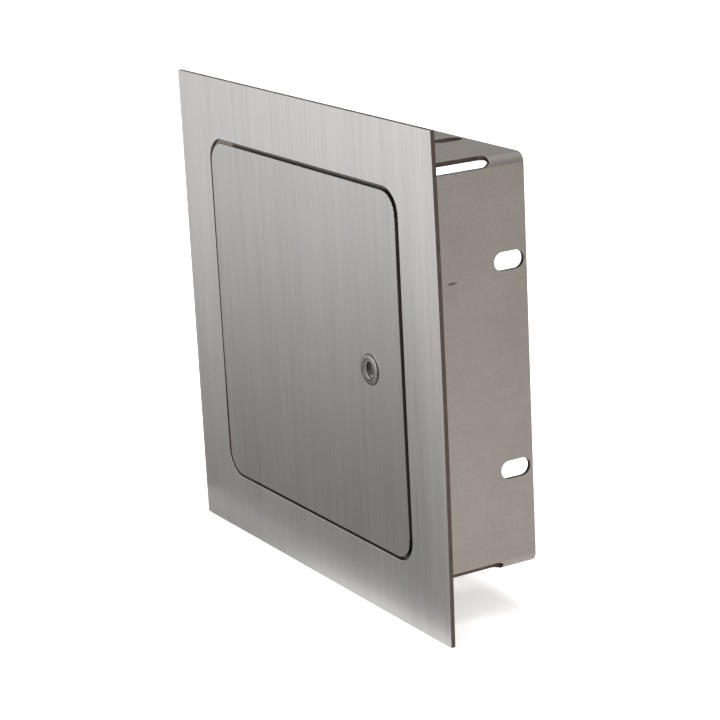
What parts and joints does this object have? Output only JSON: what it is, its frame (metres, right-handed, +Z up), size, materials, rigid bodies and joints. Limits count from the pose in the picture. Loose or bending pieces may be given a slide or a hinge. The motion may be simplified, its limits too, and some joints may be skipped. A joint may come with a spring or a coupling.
{
  "type": "standpipe access cabinet",
  "caption": "Flush recessed stainless cabinet, open at the back: square face plate, flush hinged door with a quarter-turn latch, and a slotted sheet collar.",
  "frame": {"origin": "middle of the face plate's back, which is the plane of the finished wall", "axes": "+X right as seen from the front, +Y into the wall, +Z up"},
  "size_m": [0.3048, 0.0808, 0.3048],
  "materials": {
    "brushed_stainless": "vertical brushed grain",
    "mill_stainless": "matt mill finish",
    "plated_steel": "zinc plated",
    "bright_nickel": "bright nickel plate",
    "black_rubber": "moulded matt rubber"
  },
  "bodies": {
    "cabinet": {"face_plate": "brushed_stainless", "box_collar": "mill_stainless", "hinge_bracket_upper": "plated_steel", "hinge_bracket_lower": "plated_steel", "hinge_pin_upper": "plated_steel", "hinge_pin_lower": "plated_steel", "hinge_clip_upper": "plated_steel", "hinge_clip_lower": "plated_steel", "strike_angle": "mill_stainless", "stop_angle_upper": "mill_stainless", "stop_angle_lower": "mill_stainless", "door_bumper_upper_left": "black_rubber", "door_bumper_upper_right": "black_rubber", "door_bumper_lower_left": "black_rubber", "door_bumper_lower_right": "black_rubber"},
    "door": {"door_panel": "brushed_stainless", "hinge_arm_upper": "plated_steel", "hinge_arm_lower": "plated_steel", "weld_stud_upper_1": "plated_steel", "weld_stud_upper_2": "plated_steel", "weld_stud_lower_1": "plated_steel", "weld_stud_lower_2": "plated_steel", "arm_washer_upper_1": "plated_steel", "arm_washer_upper_2": "plated_steel", "arm_washer_lower_1": "plated_steel", "arm_washer_lower_2": "plated_steel", "arm_nut_upper_1": "plated_steel", "arm_nut_upper_2": "plated_steel", "arm_nut_lower_1": "plated_steel", "arm_nut_lower_2": "plated_steel", "latch_body": "bright_nickel", "latch_lock_washer": "plated_steel", "latch_nut": "plated_steel"},
    "latch": {"latch_plug": "bright_nickel", "latch_cam": "plated_steel", "cam_washer": "plated_steel", "cam_screw": "plated_steel"}
  },
  "joints": [
    {"name": "door_hinge", "type": "hinge", "parent": "cabinet", "child": "door", "pos_m": [-0.1205, 0.0025, 0], "axis": [0, 0, -1], "range_deg": [0, 105]},
    {"name": "latch_turn", "type": "hinge", "parent": "door", "child": "latch", "pos_m": [0.0753, 0, -0.0008], "axis": [0, 1, 0], "range_deg": [0, 90]}
  ]
}
